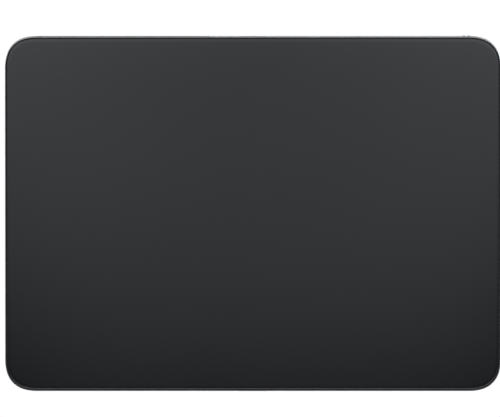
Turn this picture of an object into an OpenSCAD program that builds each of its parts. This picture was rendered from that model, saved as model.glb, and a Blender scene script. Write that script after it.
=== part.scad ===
// Desktop glass trackpad: a wedge-shaped metal tray that carries a floating glass touch plate.
// Millimetres. +X is right, +Y is back, +Z is up. The origin is on the desk, under the middle of the case.

/* [Overall] */
// width of the case, left to right
case_w = 160; // [158:0.5:164]
// depth of the case, front to back
case_d = 114.7; // [113:0.1:117]
// height of the glass above the desk at the back edge
h_back = 10.9; // [10.6:0.1:11.6]
// height of the glass above the desk at the front edge
h_front = 4.9; // [4.8:0.1:5.2]

/* [Corners] */
// radius of the middle arc of each corner
corner_r = 8; // [6:0.5:10]
// radius of the two easing arcs that lead into each corner
ease_r = 14; // [12:0.5:18]

/* [Case] */
// wall thickness of the tray
wall = 1.8; // [1.5:0.1:2]
// floor thickness of the tray
floor_t = 1; // [0.9:0.1:1]
// gap between the desk and the underside
foot_gap = 0.6; // [0.5:0.1:0.6]
// radius of the rounded lower edge
edge_r = 1.6; // [1.2:0.1:1.7]
// gap between the rim and the underside of the glass
rim_gap = 0.4; // [0.35:0.05:0.5]
// radius of a rubber foot
foot_r = 6; // [5:0.5:7]

/* [Touch plate] */
// thickness of the glass
glass_t = 1; // [0.9:0.1:1.2]
// how far the glass stays inside the case outline
glass_inset = 0.1; // [0.05:0.05:0.3]
// radius of the rounded upper edge of the glass
glass_edge_r = 0.8; // [0.3:0.1:0.8]
// thickness of the adhesive film
film_t = 0.1; // [0.05:0.05:0.1]
// thickness of the sensor board
sensor_t = 0.5; // [0.4:0.1:0.5]
// thickness of the steel platform plate
plate_t = 0.4; // [0.3:0.1:0.4]

/* [Suspension] */
// thickness of a gel pad
pad_t = 0.4; // [0.35:0.05:0.5]
// radius of a gel pad
pad_r = 4; // [3:0.5:4]
// thickness of a force beam
beam_t = 0.4; // [0.3:0.1:0.5]
// thickness of the fixed end of a force beam
beam_end_t = 1; // [0.8:0.1:1]
// distance from the side of the case to the fixed end's screw
beam_in_x = 14; // [13:0.5:15]
// distance from the middle of the glass to the beams, front and back
beam_v = 43; // [42:0.5:43.5]
// distance from the screw to the gel pad
beam_len = 20; // [18:0.5:22]

/* [Port and switch] */
// width of the charging port's shell
port_w = 8.94; // [8.9:0.02:9]
// height of the charging port's shell
port_h = 3.26; // [3.2:0.02:3.3]
// distance from the right side of the case to the middle of the switch slot
switch_in = 11.9; // [11.6:0.1:12.2]
// width of the switch slot
slot_w = 5; // [5:0.1:5.2]
// height of the switch slot
slot_h = 2; // [2:0.1:2.2]
// travel of the switch knob
switch_travel = 1.5; // [1.2:0.1:1.6]

/* [Antenna window] */
// distance from the left side of the case to the window
window_in = 10.2; // [10:0.1:11]
// width of the window
window_w = 55.8; // [50:0.2:56]
// height of the window
window_h = 3.6; // [3.2:0.1:3.6]

/* [Hidden] */
$fn = 48;
fn_big = 120;
a0 = case_w/2;
b0 = case_d/2;
tilt = atan((h_back - h_front)/case_d);
zc = (h_back + h_front)/2;
ga = a0 - glass_inset;
gb = round(100*(b0 - glass_inset)/cos(tilt))/100;
// each easing arc turns through the small angle of a 7-24-25 triangle
ease_s = 0.28;
ease_k = 0.96;
ease_e = ease_r - (ease_r - corner_r)*(ease_k - ease_s);
ease_c = ease_r - (ease_r - corner_r)*ease_k;
zf = foot_gap + floor_t;
// levels below the glass surface, measured along its normal
w_glass = -glass_t;
w_film = w_glass - film_t;
w_sensor = w_film - sensor_t;
w_plate = w_sensor - plate_t;
w_pad = w_plate - pad_t;
w_beam = w_pad - beam_t;
w_end = w_pad - beam_end_t;
w_rim = w_glass - rim_gap;
beam_x = a0 - beam_in_x;
pad_x = beam_x - beam_len;
foot_sink = 0.5;
glue_t = 0.1;
y_out = b0;
y_in = b0 - wall;
// main board
mb_z0 = 2.75;
mb_z1 = 3.55;
port_z = mb_z1 + port_h/2;
sw_x = a0 - switch_in;
sw_z = 5.3;
knob_x = sw_x + 0.7;
win_x0 = -a0 + window_in;
win_z = 4.5;
cell_z0 = zf + 0.15;
cell_z1 = cell_z0 + 2.2;
flex_t = 0.15;

// ---------------------------------------------------------------- helpers

// the frame of the glass: u along X, v up the slope, w along the normal, with w = 0 on the glass surface
module tilted() {
  translate([0, 0, zc]) rotate([tilt, 0, 0]) children();
}

module box(x0, x1, y0, y1, z0, z1) {
  translate([x0, y0, z0]) cube([x1 - x0, y1 - y0, z1 - z0]);
}

module both_sides() {
  children();
  mirror([1, 0, 0]) children();
}

module stadium(w, h) {
  translate([-(w - h)/2, -h/2]) square([w - h, h]);
  for (s = [-1, 1]) translate([s*(w - h)/2, 0]) circle(h/2);
}

module rrect(w, h, r) {
  translate([-w/2 + r, -h/2]) square([w - 2*r, h]);
  translate([-w/2, -h/2 + r]) square([w, h - 2*r]);
  for (x = [-1, 1], y = [-1, 1]) translate([x*(w/2 - r), y*(h/2 - r)]) circle(r);
}

// a plan shape stood up in the wall, from y0 to y1
module along_y(x, z, y0, y1) {
  translate([x, y1, z]) rotate([90, 0, 0]) linear_extrude(y1 - y0) children();
}

// the three arcs of one corner: reach inwards from the two sides, radius, and the directions between which each turns
function corner_arcs() = [
  [ease_e, ease_r, ease_r, [ease_s, ease_k], [0, 1]],
  [ease_c, ease_c, corner_r, [ease_k, ease_s], [ease_s, ease_k]],
  [ease_r, ease_e, ease_r, [1, 0], [ease_k, ease_s]]
];

module wedge(r, d, e) {
  polygon([[0, 0], 2*r*d, 2*r*(d + e), 2*r*e]);
}

// plan outline with eased corners, i inside the outer line
module outline(a, b, i = 0) {
  ra = ease_r - i;
  p = [a - ease_e + ra*ease_s, b - ease_r + ra*ease_k];
  q = [a - ease_r + ra*ease_k, b - ease_e + ra*ease_s];
  s = a - ease_e;
  t = b - ease_e;
  polygon([
    [a - i, t], q, p, [s, b - i], [-s, b - i], [-p[0], p[1]], [-q[0], q[1]], [-a + i, t],
    [-a + i, -t], -q, -p, [-s, -b + i], [s, -b + i], [p[0], -p[1]], [q[0], -q[1]], [a - i, -t]
  ]);
  for (x = [0, 1], y = [0, 1], c = corner_arcs()) mirror([x, 0]) mirror([0, y])
    translate([a - c[0], b - c[1]]) intersection() {
      circle(c[2] - i, $fn = fn_big);
      wedge(c[2], c[3], c[4]);
    }
}

// a plate with the plan outline and a shaped edge; the edge profile has x = 0 on the outline and runs inwards past ease_r
module edged_plate(a, b, z0, z1) {
  s = a - ease_e;
  t = b - ease_e;
  for (x = [0, 1], y = [0, 1], c = corner_arcs()) mirror([x, 0, 0]) mirror([0, y, 0])
    translate([a - c[0], b - c[1], 0]) intersection() {
      rotate_extrude($fn = fn_big) intersection() {
        translate([c[2], 0]) children();
        translate([0, z0 - 1]) square([c[2] + 1, z1 - z0 + 2]);
      }
      translate([0, 0, z0 - 1]) linear_extrude(z1 - z0 + 2) wedge(c[2], c[3], c[4]);
    }
  for (y = [0, 1]) mirror([0, y, 0]) translate([-s, b, 0]) rotate([90, 0, 90]) linear_extrude(2*s) children();
  for (x = [0, 1]) mirror([x, 0, 0]) translate([a, t, 0]) rotate([90, 0, 0]) linear_extrude(2*t) children();
  box(ease_r - a - 1, a - ease_r + 1, ease_r - b - 1, b - ease_r + 1, z0, z1);
}

// a rectangle from z0 to z1 with one rounded outer corner, at the top or at the bottom
module edge_profile(z0, z1, r, top) {
  d = ease_r + 2;
  zr = top ? z1 - r : z0 + r;
  difference() {
    translate([-d, z0]) square([d, z1 - z0]);
    difference() {
      translate([-r, top ? zr : z0 - 1]) square([r + 1, r + 1]);
      translate([-r, zr]) circle(r, $fn = 64);
    }
  }
}

// pan head screw with a hexagon socket, standing on z = 0, head upwards
module screw(rh, hh, rs, ls) {
  difference() {
    cylinder(r = rh, h = hh);
    translate([0, 0, 0.4*hh]) cylinder(r = 0.52*rh, h = hh, $fn = 6);
  }
  translate([0, 0, -ls]) cylinder(r = rs, h = ls);
}

// four corners of the suspension
module at_beams(sides = [-1, 1]) {
  for (x = [0, 1], s = sides) tilted() mirror([x, 0, 0]) translate([0, s*beam_v, 0]) children();
}

// ---------------------------------------------------------------- case

board_posts = [[-1, 42.9], [24, 51], [55.5, 43.2], [-7.5, 50], [7.5, 50]];
switch_posts = [[sw_x - 6.3, 50], [sw_x + 6.1, 50.2]];
haptic_posts = [[-9, -13.5], [9, -13.5], [-9, 29.5], [9, 29.5]];

module tray_body() {
  z1 = h_back + 2;
  edged_plate(a0, b0, foot_gap, z1) edge_profile(foot_gap, z1, edge_r, false);
}

module post(p, r, top) {
  translate([p[0], p[1], zf - 0.3]) cylinder(r = r, h = top - zf + 0.3);
}

module enclosure() color([0.78, 0.79, 0.80]) difference() {
  union() {
    difference() {
      tray_body();
      tilted() translate([-case_w, -case_d, w_rim]) cube([2*case_w, 2*case_d, 3*h_back]);
      translate([0, 0, zf]) linear_extrude(2*h_back) outline(a0, b0, wall);
    }
    for (p = board_posts) post(p, 2, mb_z0);
    for (p = switch_posts) post(p, 1.7, 3.85);
    for (p = haptic_posts) post(p, 2, 2.2);
    intersection() {
      at_beams() translate([beam_x, 0, w_end - 12]) cylinder(r = 3.6, h = 12);
      box(-case_w, case_w, -case_d, case_d, zf - 0.3, h_back);
    }
  }
  for (p = concat(board_posts, haptic_posts)) translate([p[0], p[1], 1]) cylinder(r = 0.8, h = 5);
  for (p = switch_posts) translate([p[0], p[1], 2.4]) cylinder(r = 0.7, h = 5);
  // recess and screw way of each foot
  for (x = [-1, 1], y = [-1, 1]) translate([x*beam_x, y*beam_v, 0]) cylinder(r = foot_r + 0.15, h = foot_gap + foot_sink);
  at_beams() translate([beam_x, 0, -20]) cylinder(r = 1.1, h = 20);
  at_beams([-1]) translate([beam_x, 0, -14.45]) cylinder(r = 2.1, h = 10.5);
  at_beams([1]) translate([beam_x, 0, -18.85]) cylinder(r = 2.1, h = 10.5);
  // openings in the back wall
  along_y(0, port_z, y_in - 1, y_out + 1) stadium(port_w + 0.16, port_h + 0.16);
  along_y(sw_x, sw_z, y_in - 1, y_out + 1) stadium(slot_w, slot_h);
  along_y(win_x0 + window_w/2, win_z, y_in - 1, y_out + 1) rrect(window_w, window_h, 1);
}

module rubber_feet() color([0.16, 0.16, 0.17]) {
  for (x = [-1, 1], y = [-1, 1]) translate([x*beam_x, y*beam_v, 0])
    rotate_extrude($fn = 96) polygon([
      [0, 0], [foot_r - 0.4, 0], [foot_r - 0.12, 0.12], [foot_r, 0.4],
      [foot_r, foot_gap + foot_sink - glue_t], [0, foot_gap + foot_sink - glue_t]
    ]);
}

module foot_adhesive() color([0.85, 0.82, 0.70]) {
  for (x = [-1, 1], y = [-1, 1]) translate([x*beam_x, y*beam_v, foot_gap + foot_sink - glue_t])
    cylinder(r = foot_r - 0.2, h = glue_t, $fn = 96);
}

module antenna_window() color([0.20, 0.20, 0.21]) {
  xm = win_x0 + window_w/2;
  along_y(xm, win_z, y_in - 0.06, y_out) rrect(window_w - 0.1, window_h - 0.1, 0.95);
  along_y(xm, win_z, y_in - 0.65, y_in - 0.05) rrect(window_w + 1.6, window_h + 1.4, 1.2);
}

module antenna_strip() color([0.72, 0.45, 0.20]) {
  xm = win_x0 + window_w/2;
  y1 = y_in - 0.65;
  difference() {
    along_y(xm, win_z, y1 - flex_t, y1) rrect(window_w - 18, 3.2, 0.5);
    for (i = [-4 : 4]) along_y(xm + 3.6*i, win_z + (i % 2 == 0 ? 0.5 : -0.5), y1 - 1, y1 + 1) square([0.8, 2.4], center = true);
  }
}

module tube_run(points, r) {
  for (i = [0 : len(points) - 2]) {
    a = points[i];
    b = points[i + 1];
    d = b - a;
    translate(a) rotate([0, acos(d[2]/norm(d)), atan2(d[1], d[0])]) cylinder(r = r, h = norm(d), $fn = 24);
  }
  for (i = [1 : len(points) - 2]) translate(points[i]) sphere(r, $fn = 24);
}

module antenna_cable() color([0.12, 0.12, 0.13]) {
  xe = win_x0 + window_w;
  tube_run([[xe - 12, y_in - 1.25, 4.5], [xe - 2, y_in - 1.25, 4.5], [-11.4, 51.6, 4.9], [-10.5, 46.5, 4.9]], 0.4);
  translate([-10.5, 46.5, 4.4]) cylinder(r = 1.3, h = 0.9);
}

// ---------------------------------------------------------------- suspension

module beam_screw(head) {
  translate([beam_x, 0, head]) {
    difference() {
      cylinder(r = 1.9, h = 0.5);
      translate([0, 0, -1]) cylinder(r = 0.85, h = 1.3, $fn = 6);
    }
    translate([0, 0, 0.5]) cylinder(r = 0.85, h = w_pad - head - 0.55);
  }
}

module beam_screws_front() color([0.55, 0.56, 0.58]) {
  at_beams([-1]) beam_screw(-4.45);
}

module beam_screws_rear() color([0.55, 0.56, 0.58]) {
  at_beams([1]) beam_screw(-8.85);
}

module force_beams() color([0.62, 0.63, 0.65]) {
  x0 = pad_x - 5;
  x1 = beam_x + 5.5;
  at_beams() {
    translate([0, 0, w_beam]) linear_extrude(beam_t) difference() {
      translate([x0, -4.5]) square([x1 - x0, 9]);
      for (s = [-1, 1]) translate([(pad_x + beam_x)/2 - 4, s*3.75 - 0.75]) square([8, 1.5]);
      translate([beam_x, 0]) circle(0.9);
    }
    translate([0, 0, w_end]) linear_extrude(beam_end_t - beam_t) difference() {
      translate([x1 - 10, -4.5]) square([10, 9]);
      translate([beam_x, 0]) circle(0.9);
    }
  }
}

module force_gauges() color([0.80, 0.55, 0.20]) {
  xm = (pad_x + beam_x)/2;
  for (s = [-1, 1], x = [0, 1]) tilted() mirror([x, 0, 0]) mirror([0, s < 0 ? 1 : 0, 0]) {
    box(xm - 2, xm + 2, beam_v - 4.4, beam_v + 1.5, w_beam - 0.12, w_beam);
    box(xm - 2, xm + 2, beam_v - 4.4, beam_v - 4.4 + flex_t, w_beam - 0.12, w_sensor);
  }
}

module gel_pads() color([0.55, 0.60, 0.66]) {
  at_beams() translate([pad_x, 0, w_pad]) cylinder(r = pad_r, h = pad_t, $fn = 72);
}

// ---------------------------------------------------------------- touch plate

module touch_glass() color([0.10, 0.10, 0.11]) tilted() {
  edged_plate(ga, gb, w_glass, 0) edge_profile(w_glass, 0, glass_edge_r, true);
}

module glass_adhesive() color([0.75, 0.76, 0.72]) tilted() {
  translate([0, 0, w_film]) linear_extrude(film_t) outline(ga, gb, 2.4);
}

module sensor_board() color([0.10, 0.28, 0.18]) tilted() {
  translate([0, 0, w_sensor]) linear_extrude(sensor_t) outline(ga, gb, 2.4);
}

module sensor_chips() color([0.13, 0.13, 0.14]) tilted() {
  box(26, 35, 21, 30, w_sensor - 0.8, w_sensor);
  box(40, 46, 22, 28, w_sensor - 0.8, w_sensor);
  box(50, 55, 20, 25, w_sensor - 0.7, w_sensor);
  for (i = [0 : 7]) box(26 + 2*i, 27 + 2*i, 18.4, 18.9, w_sensor - 0.4, w_sensor);
  for (i = [0 : 4]) box(48.5 + 1.8*i, 49.3 + 1.8*i, 28.4, 28.9, w_sensor - 0.4, w_sensor);
}

module sensor_connector() color([0.88, 0.86, 0.80]) tilted() {
  box(33, 45, 32.4, 35.8, w_plate - 0.4, w_sensor);
}

module platform_plate() color([0.66, 0.67, 0.69]) tilted() {
  xm = (pad_x + beam_x)/2;
  translate([0, 0, w_plate]) linear_extrude(plate_t) difference() {
    outline(ga, gb, 2.8);
    translate([40, 26.5]) rrect(42, 22, 2);
    for (x = [-1, 1], y = [-1, 1]) translate([x*xm, y*(beam_v - 4.3)]) square([6, 2.2], center = true);
    for (x = [-1, 1], y = [-1, 1]) translate([x*(a0 - 8), y*20]) circle(2);
    for (x = [-36, 36]) translate([x, -20]) rrect(34, 16, 3);
    translate([-40, 22]) rrect(34, 16, 3);
  }
}

module attraction_rails() color([0.50, 0.50, 0.52]) both_sides() {
  difference() {
    box(7.6, 9.8, -10, 26, 3.1, 9);
    tilted() translate([0, -case_d, w_plate]) cube([case_w, 2*case_d, 20]);
  }
  tilted() box(7.6, 13, -9, 25, w_plate - 0.6, w_plate);
}

// ---------------------------------------------------------------- haptic actuator

module haptic_bracket() color([0.70, 0.70, 0.70]) {
  translate([0, 0, 2.2]) linear_extrude(0.4) difference() {
    translate([0, 8]) rrect(23, 48, 2);
    for (x = [-4.3, 4.3]) translate([x, 8]) square([5.4, 13.2], center = true);
    for (p = haptic_posts) translate(p) circle(0.95);
    for (y = [-9.5, 25.5]) translate([0, y]) circle(0.9);
  }
}

module haptic_core() color([0.36, 0.36, 0.38]) {
  translate([0, 0, 2.6]) linear_extrude(2.2) difference() {
    union() {
      translate([-1.3, -12]) square([2.6, 40]);
      translate([-7.2, 4]) square([14.4, 8]);
      for (y = [-9.5, 25.5]) translate([-7.2, y - 2.5]) square([14.4, 5]);
    }
    for (y = [-9.5, 25.5]) translate([0, y]) circle(0.9);
  }
}

module core_rivets() color([0.75, 0.74, 0.70]) {
  for (y = [-9.5, 25.5]) translate([0, y, 0]) {
    translate([0, 0, 1.9]) cylinder(r = 1.4, h = 0.3);
    translate([0, 0, 1.9]) cylinder(r = 0.85, h = 3);
    translate([0, 0, 4.8]) cylinder(r = 1.4, h = 0.2);
  }
}

module coil_bobbins() color([0.15, 0.15, 0.16]) both_sides() difference() {
  union() {
    box(1.9, 6.7, 3.65, 12.35, 2.25, 5.15);
    for (x = [1.9, 6.4]) box(x, x + 0.3, 2.1, 13.9, 1.75, 5.65);
  }
  box(1, 8, 3.95, 12.05, 2.55, 4.85);
}

module haptic_coils() color([0.72, 0.40, 0.18]) both_sides() difference() {
  box(2.2, 6.4, 2.2, 13.8, 1.8, 5.6);
  box(1, 8, 3.65, 12.35, 2.25, 5.15);
}

module haptic_screws() color([0.60, 0.60, 0.62]) {
  for (p = haptic_posts) translate([p[0], p[1], 2.6]) screw(1.4, 0.6, 0.75, 1.5);
}

module haptic_flex() color([0.70, 0.42, 0.15]) {
  box(3.2, 6.2, 14.2, 40.35, zf, zf + flex_t);
  box(3.2, 6.2, 14.2, 14.35, zf, 2.1);
  box(3.2, 6.2, 40.2, 40.35, zf, mb_z1 + flex_t);
  box(3.2, 6.2, 40.2, 43.4, mb_z1, mb_z1 + flex_t);
}

// ---------------------------------------------------------------- main board

module main_board() color([0.08, 0.22, 0.16]) {
  translate([0, 0, mb_z0]) linear_extrude(mb_z1 - mb_z0) difference() {
    translate([22.5, 46.9]) rrect(71, 12.6, 1);
    for (p = board_posts) translate(p) circle(0.95);
  }
}

module main_board_chips() color([0.12, 0.12, 0.13]) {
  z = mb_z1;
  box(12.4, 18, 43, 47, z, z + 1);
  box(26.4, 32.4, 46.6, 52.4, z, z + 1);
  box(36, 41.6, 47.4, 52.4, z, z + 0.9);
  box(46, 50.5, 45.6, 50.1, z, z + 0.8);
  box(12, 16, 49.6, 52.4, z, z + 1.4);
  for (i = [0 : 5]) box(22.8 + 1.5*i, 23.6 + 1.5*i, 41.4, 41.8, z, z + 0.4);
  for (i = [0 : 4]) box(46 + 1.5*i, 46.8 + 1.5*i, 42.2, 42.6, z, z + 0.4);
  for (i = [0 : 3]) box(18 + 1.4*i, 18.8 + 1.4*i, 49.4, 49.8, z, z + 0.4);
}

module radio_shield() color([0.75, 0.76, 0.77]) difference() {
  box(10.6, 21.6, 41.6, 48.4, mb_z1, mb_z1 + 1.5);
  box(10.8, 21.4, 41.8, 48.2, mb_z1 - 1, mb_z1 + 1.3);
}

module board_connectors() color([0.90, 0.88, 0.82]) {
  box(32, 44, 42, 45.4, mb_z1, mb_z1 + 0.8);
  translate([-10.5, 46.5, mb_z1]) cylinder(r = 1.2, h = 0.85);
  box(-12.6, -9.6, 42.8, 45.6, mb_z1 + flex_t, mb_z1 + 0.8);
  box(2.8, 6.6, 41.2, 43.8, mb_z1 + flex_t, mb_z1 + 0.8);
  box(55, 57.8, 51, 53, mb_z1 + flex_t, mb_z1 + 0.8);
}

module board_screws() color([0.60, 0.60, 0.62]) {
  for (i = [0 : 2]) translate([board_posts[i][0], board_posts[i][1], mb_z1]) screw(1.4, 0.6, 0.75, 2.4);
}

// centre line of the cable between the sensor board and the main board, seen from the side
function up(v, w) = [v*cos(tilt) - w*sin(tilt), zc + v*sin(tilt) + w*cos(tilt)];
function blend(a, b, ta, tb, t) =
  (2*t*t*t - 3*t*t + 1)*a + (t*t*t - 2*t*t + t)*ta + (-2*t*t*t + 3*t*t)*b + (t*t*t - t*t)*tb;
fs = up(35.6, w_plate - 0.4 - flex_t/2);
fe = [42.2, mb_z1 + 0.8 + flex_t/2];
flex_line = concat(
  [up(32.6, w_plate - 0.4 - flex_t/2)],
  [for (i = [0 : 14]) blend(fs, fe, 9*[cos(tilt), sin(tilt)], [9, 0], i/14)],
  [[45.2, fe[1]]]
);
function side(l, i) =
  let (a = l[max(i - 1, 0)], b = l[min(i + 1, len(l) - 1)], d = b - a) [-d[1], d[0]]/norm(d);

module sensor_flex() color([0.74, 0.46, 0.18]) {
  n = len(flex_line);
  translate([34, 0, 0]) rotate([90, 0, 90]) linear_extrude(10) polygon(concat(
    [for (i = [0 : n - 1]) flex_line[i] + side(flex_line, i)*flex_t/2],
    [for (i = [n - 1 : -1 : 0]) flex_line[i] - side(flex_line, i)*flex_t/2]
  ));
}

// ---------------------------------------------------------------- charging port

module port_shell() color([0.70, 0.71, 0.72]) {
  y1 = y_out - 0.3;
  along_y(0, port_z, 49.8, y1) difference() {
    stadium(port_w, port_h);
    stadium(port_w - 0.6, port_h - 0.6);
  }
  along_y(0, port_z, 49.8, 50.1) stadium(port_w, port_h);
}

module port_tongue() color([0.10, 0.10, 0.11]) {
  along_y(0, port_z, 50.12, 51.6) stadium(port_w - 0.64, port_h - 0.64);
  along_y(0, port_z, 51.5, 56.3) rrect(6.7, 0.7, 0.2);
}

module port_contacts() color([0.85, 0.68, 0.30]) {
  for (i = [0 : 11], s = [0, 1]) translate([0, 0, port_z]) mirror([0, 0, s])
    box(-2.88 + 0.5*i, -2.62 + 0.5*i, 52.2, 55.9, 0.35, 0.41);
}

module port_bracket() color([0.74, 0.74, 0.75]) {
  z1 = port_z + port_h/2 + 0.02;
  box(-5, 5, 48.2, 51.8, z1, z1 + 0.3);
  difference() {
    both_sides() {
      box(4.7, 5, 48.2, 51.8, mb_z1, z1 + 0.3);
      box(4.7, 9.4, 48.2, 51.8, mb_z1, mb_z1 + 0.3);
    }
    for (x = [-7.5, 7.5]) translate([x, 50, mb_z1 - 1]) cylinder(r = 0.95, h = 2);
  }
}

module port_screws() color([0.60, 0.60, 0.62]) {
  for (x = [-7.5, 7.5]) translate([x, 50, mb_z1 + 0.3]) screw(1.4, 0.6, 0.75, 2.7);
}

// ---------------------------------------------------------------- power switch

module switch_knob() color([0.60, 0.61, 0.62]) {
  along_y(knob_x, sw_z, 55, y_out - 0.15) rrect(2.3, slot_h - 0.3, 0.3);
  for (s = [-1, 1]) along_y(knob_x + s*0.73, sw_z, y_out - 0.2, y_out + 0.35) rrect(0.5, slot_h - 0.5, 0.1);
  box(knob_x - 3.4, knob_x + 3.4, 54.6, 55.1, sw_z - 1.3, sw_z + 1.3);
  for (s = [-1, 1]) translate([knob_x + s*1, 0, 0]) box(-0.25, 0.25, 53.6, 54.7, sw_z - 0.6, sw_z + 0.6);
}

module switch_lever() color([0.12, 0.12, 0.13]) {
  box(knob_x - 0.7, knob_x + 0.7, 50.4, 54.55, sw_z - 0.4, sw_z + 0.4);
}

module switch_can() color([0.72, 0.73, 0.74]) difference() {
  box(sw_x - 3.8, sw_x + 3.8, 49.6, 52.8, 4.45, 6.15);
  box(sw_x - 3.5, sw_x + 3.5, 49.9, 52.5, 4.7, 5.9);
  box(sw_x - 2, sw_x + 2, 51, 54, 4.7, 5.9);
}

module switch_board() color([0.08, 0.22, 0.16]) {
  translate([0, 0, 3.85]) linear_extrude(0.6) difference() {
    translate([sw_x - 0.2, 50.8]) rrect(15.4, 4, 0.6);
    for (p = switch_posts) translate(p) circle(0.85);
  }
}

module switch_screws() color([0.60, 0.60, 0.62]) {
  for (p = switch_posts) translate([p[0], p[1], 4.45]) screw(1.25, 0.5, 0.65, 2);
}

module switch_flex() color([0.70, 0.42, 0.15]) {
  box(55.2, 58.8, 51.4, 52.7, mb_z1, mb_z1 + flex_t);
  box(58.65, 58.8, 51.4, 52.7, mb_z1, 4.45 + flex_t);
  box(58.65, sw_x - 4.2, 51.4, 52.7, 4.45, 4.45 + flex_t);
}

// ---------------------------------------------------------------- battery

module cell() {
  translate([39, 5, cell_z0]) {
    linear_extrude(2.2) rrect(46, 66, 2);
  }
  box(26, 60, 37.9, 40.2, 2.2, 2.4);
}

module battery_right() color([0.20, 0.21, 0.23]) cell();

module battery_left() color([0.20, 0.21, 0.23]) mirror([1, 0, 0]) cell();

module battery_tape() color([0.88, 0.87, 0.80]) both_sides() {
  for (x = [20, 52]) box(x, x + 6, -25, 35, zf, cell_z0);
}

module battery_board() color([0.08, 0.22, 0.16]) {
  box(-54, -20, 41.2, 45.4, zf, zf + 0.6);
}

module battery_chips() color([0.12, 0.12, 0.13]) {
  box(-50, -46, 42, 44.6, zf + 0.6, zf + 1.3);
  box(-44, -40, 42, 44.6, zf + 0.6, zf + 1.3);
  for (i = [0 : 4]) box(-38 + 2*i, -37 + 2*i, 43, 43.5, zf + 0.6, zf + 1);
}

module battery_link() color([0.70, 0.42, 0.15]) {
  box(-24, 24, 38.4, 40, zf + 0.6, zf + 0.75);
  box(-24, -21, 38.4, 43, zf + 0.6, zf + 0.75);
}

module battery_lead() color([0.70, 0.42, 0.15]) {
  box(-24, -17.5, 43.2, 45.2, zf + 0.6, zf + 0.75);
  box(-17.65, -17.5, 43.2, 45.2, zf + 0.6, mb_z1 + flex_t);
  box(-17.65, -9.7, 43.2, 45.2, mb_z1, mb_z1 + flex_t);
}

// ---------------------------------------------------------------- assembly

enclosure();
rubber_feet();
foot_adhesive();
antenna_window();
antenna_strip();
antenna_cable();
beam_screws_front();
beam_screws_rear();
force_beams();
force_gauges();
gel_pads();
touch_glass();
glass_adhesive();
sensor_board();
sensor_chips();
sensor_connector();
platform_plate();
attraction_rails();
haptic_bracket();
haptic_core();
core_rivets();
coil_bobbins();
haptic_coils();
haptic_screws();
haptic_flex();
main_board();
main_board_chips();
radio_shield();
board_connectors();
board_screws();
sensor_flex();
port_shell();
port_tongue();
port_contacts();
port_bracket();
port_screws();
switch_knob();
switch_lever();
switch_can();
switch_board();
switch_screws();
switch_flex();
battery_left();
battery_right();
battery_tape();
battery_board();
battery_chips();
battery_link();
battery_lead();
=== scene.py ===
import math

import bmesh
import bpy
from mathutils import Matrix, Vector, geometry


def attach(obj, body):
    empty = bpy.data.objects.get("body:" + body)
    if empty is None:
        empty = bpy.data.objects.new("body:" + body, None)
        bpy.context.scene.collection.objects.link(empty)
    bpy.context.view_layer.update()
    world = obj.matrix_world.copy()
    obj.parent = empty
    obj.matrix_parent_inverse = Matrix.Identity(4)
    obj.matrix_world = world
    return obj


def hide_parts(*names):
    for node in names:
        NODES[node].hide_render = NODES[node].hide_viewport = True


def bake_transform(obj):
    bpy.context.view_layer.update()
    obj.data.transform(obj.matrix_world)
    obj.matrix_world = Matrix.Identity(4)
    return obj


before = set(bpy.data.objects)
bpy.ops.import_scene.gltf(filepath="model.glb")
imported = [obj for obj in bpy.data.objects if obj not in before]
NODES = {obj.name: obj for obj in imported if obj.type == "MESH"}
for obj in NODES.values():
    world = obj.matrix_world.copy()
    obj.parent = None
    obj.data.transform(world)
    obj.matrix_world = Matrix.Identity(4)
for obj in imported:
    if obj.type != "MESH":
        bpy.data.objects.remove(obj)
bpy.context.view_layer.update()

SCENE = bpy.context.scene
MM = 0.001

# ------------------------------------------------------------------ sizes, in millimetres, as in the CAD source
A0, B0 = 80.0, 57.35
GA, GB = 79.9, 57.33
EASE_R, CORNER_R = 14.0, 8.0
EASE_E, EASE_C = 9.92, 8.24
TILT = math.atan(6.0 / 114.7)
SN, CS = math.sin(TILT), math.cos(TILT)
ZC = 7.9
WALL, FOOT_GAP, ZF, EDGE_R = 1.8, 0.6, 1.6, 1.6
W_GLASS, W_RIM, W_SENSOR, W_PLATE, W_PAD, W_BEAM, W_END = -1.0, -1.4, -1.6, -2.0, -2.4, -2.8, -3.4
BEAM_X, BEAM_V, PAD_X = 66.0, 43.0, 46.0
Y_OUT, Y_IN = 57.35, 55.55
PORT_Z, SW_X, SW_Z, KNOB_X = 5.18, 68.1, 5.3, 68.8
WIN_X, WIN_Z = -41.9, 4.5
MB_Z0, MB_Z1 = 2.75, 3.55


def tilted(p):
    """From the glass frame (u right, v up the slope, w along the normal) to the row frame."""
    return (p[0], p[1] * CS - p[2] * SN, ZC + p[1] * SN + p[2] * CS)


def on_plane(y, w):
    """Height of the plane w = const over a point at depth y."""
    return ZC + (w + y * SN) / CS


# ------------------------------------------------------------------ outlines

def outline(a, b, i=0.0, n=(6, 14, 6)):
    """Plan outline with three-arc corners, i inside the outer line, counter-clockwise. The count doesn't depend on i."""
    lo, hi = math.atan2(0.28, 0.96), math.atan2(0.96, 0.28)
    arcs = (
        ((a - EASE_R, b - EASE_E), EASE_R, 0.0, lo, n[0]),
        ((a - EASE_C, b - EASE_C), CORNER_R, lo, hi, n[1]),
        ((a - EASE_E, b - EASE_R), EASE_R, hi, math.pi / 2, n[2]),
    )
    quarter = []
    for k, (c, r, t0, t1, m) in enumerate(arcs):
        for j in range(m + 1):
            if k and j == 0:
                continue
            t = t0 + (t1 - t0) * j / m
            quarter.append((c[0] + (r - i) * math.cos(t), c[1] + (r - i) * math.sin(t)))
    q2 = [(-x, y) for x, y in reversed(quarter)]
    q3 = [(-x, -y) for x, y in quarter]
    q4 = [(x, -y) for x, y in reversed(quarter)]
    return quarter + q2 + q3 + q4


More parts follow.
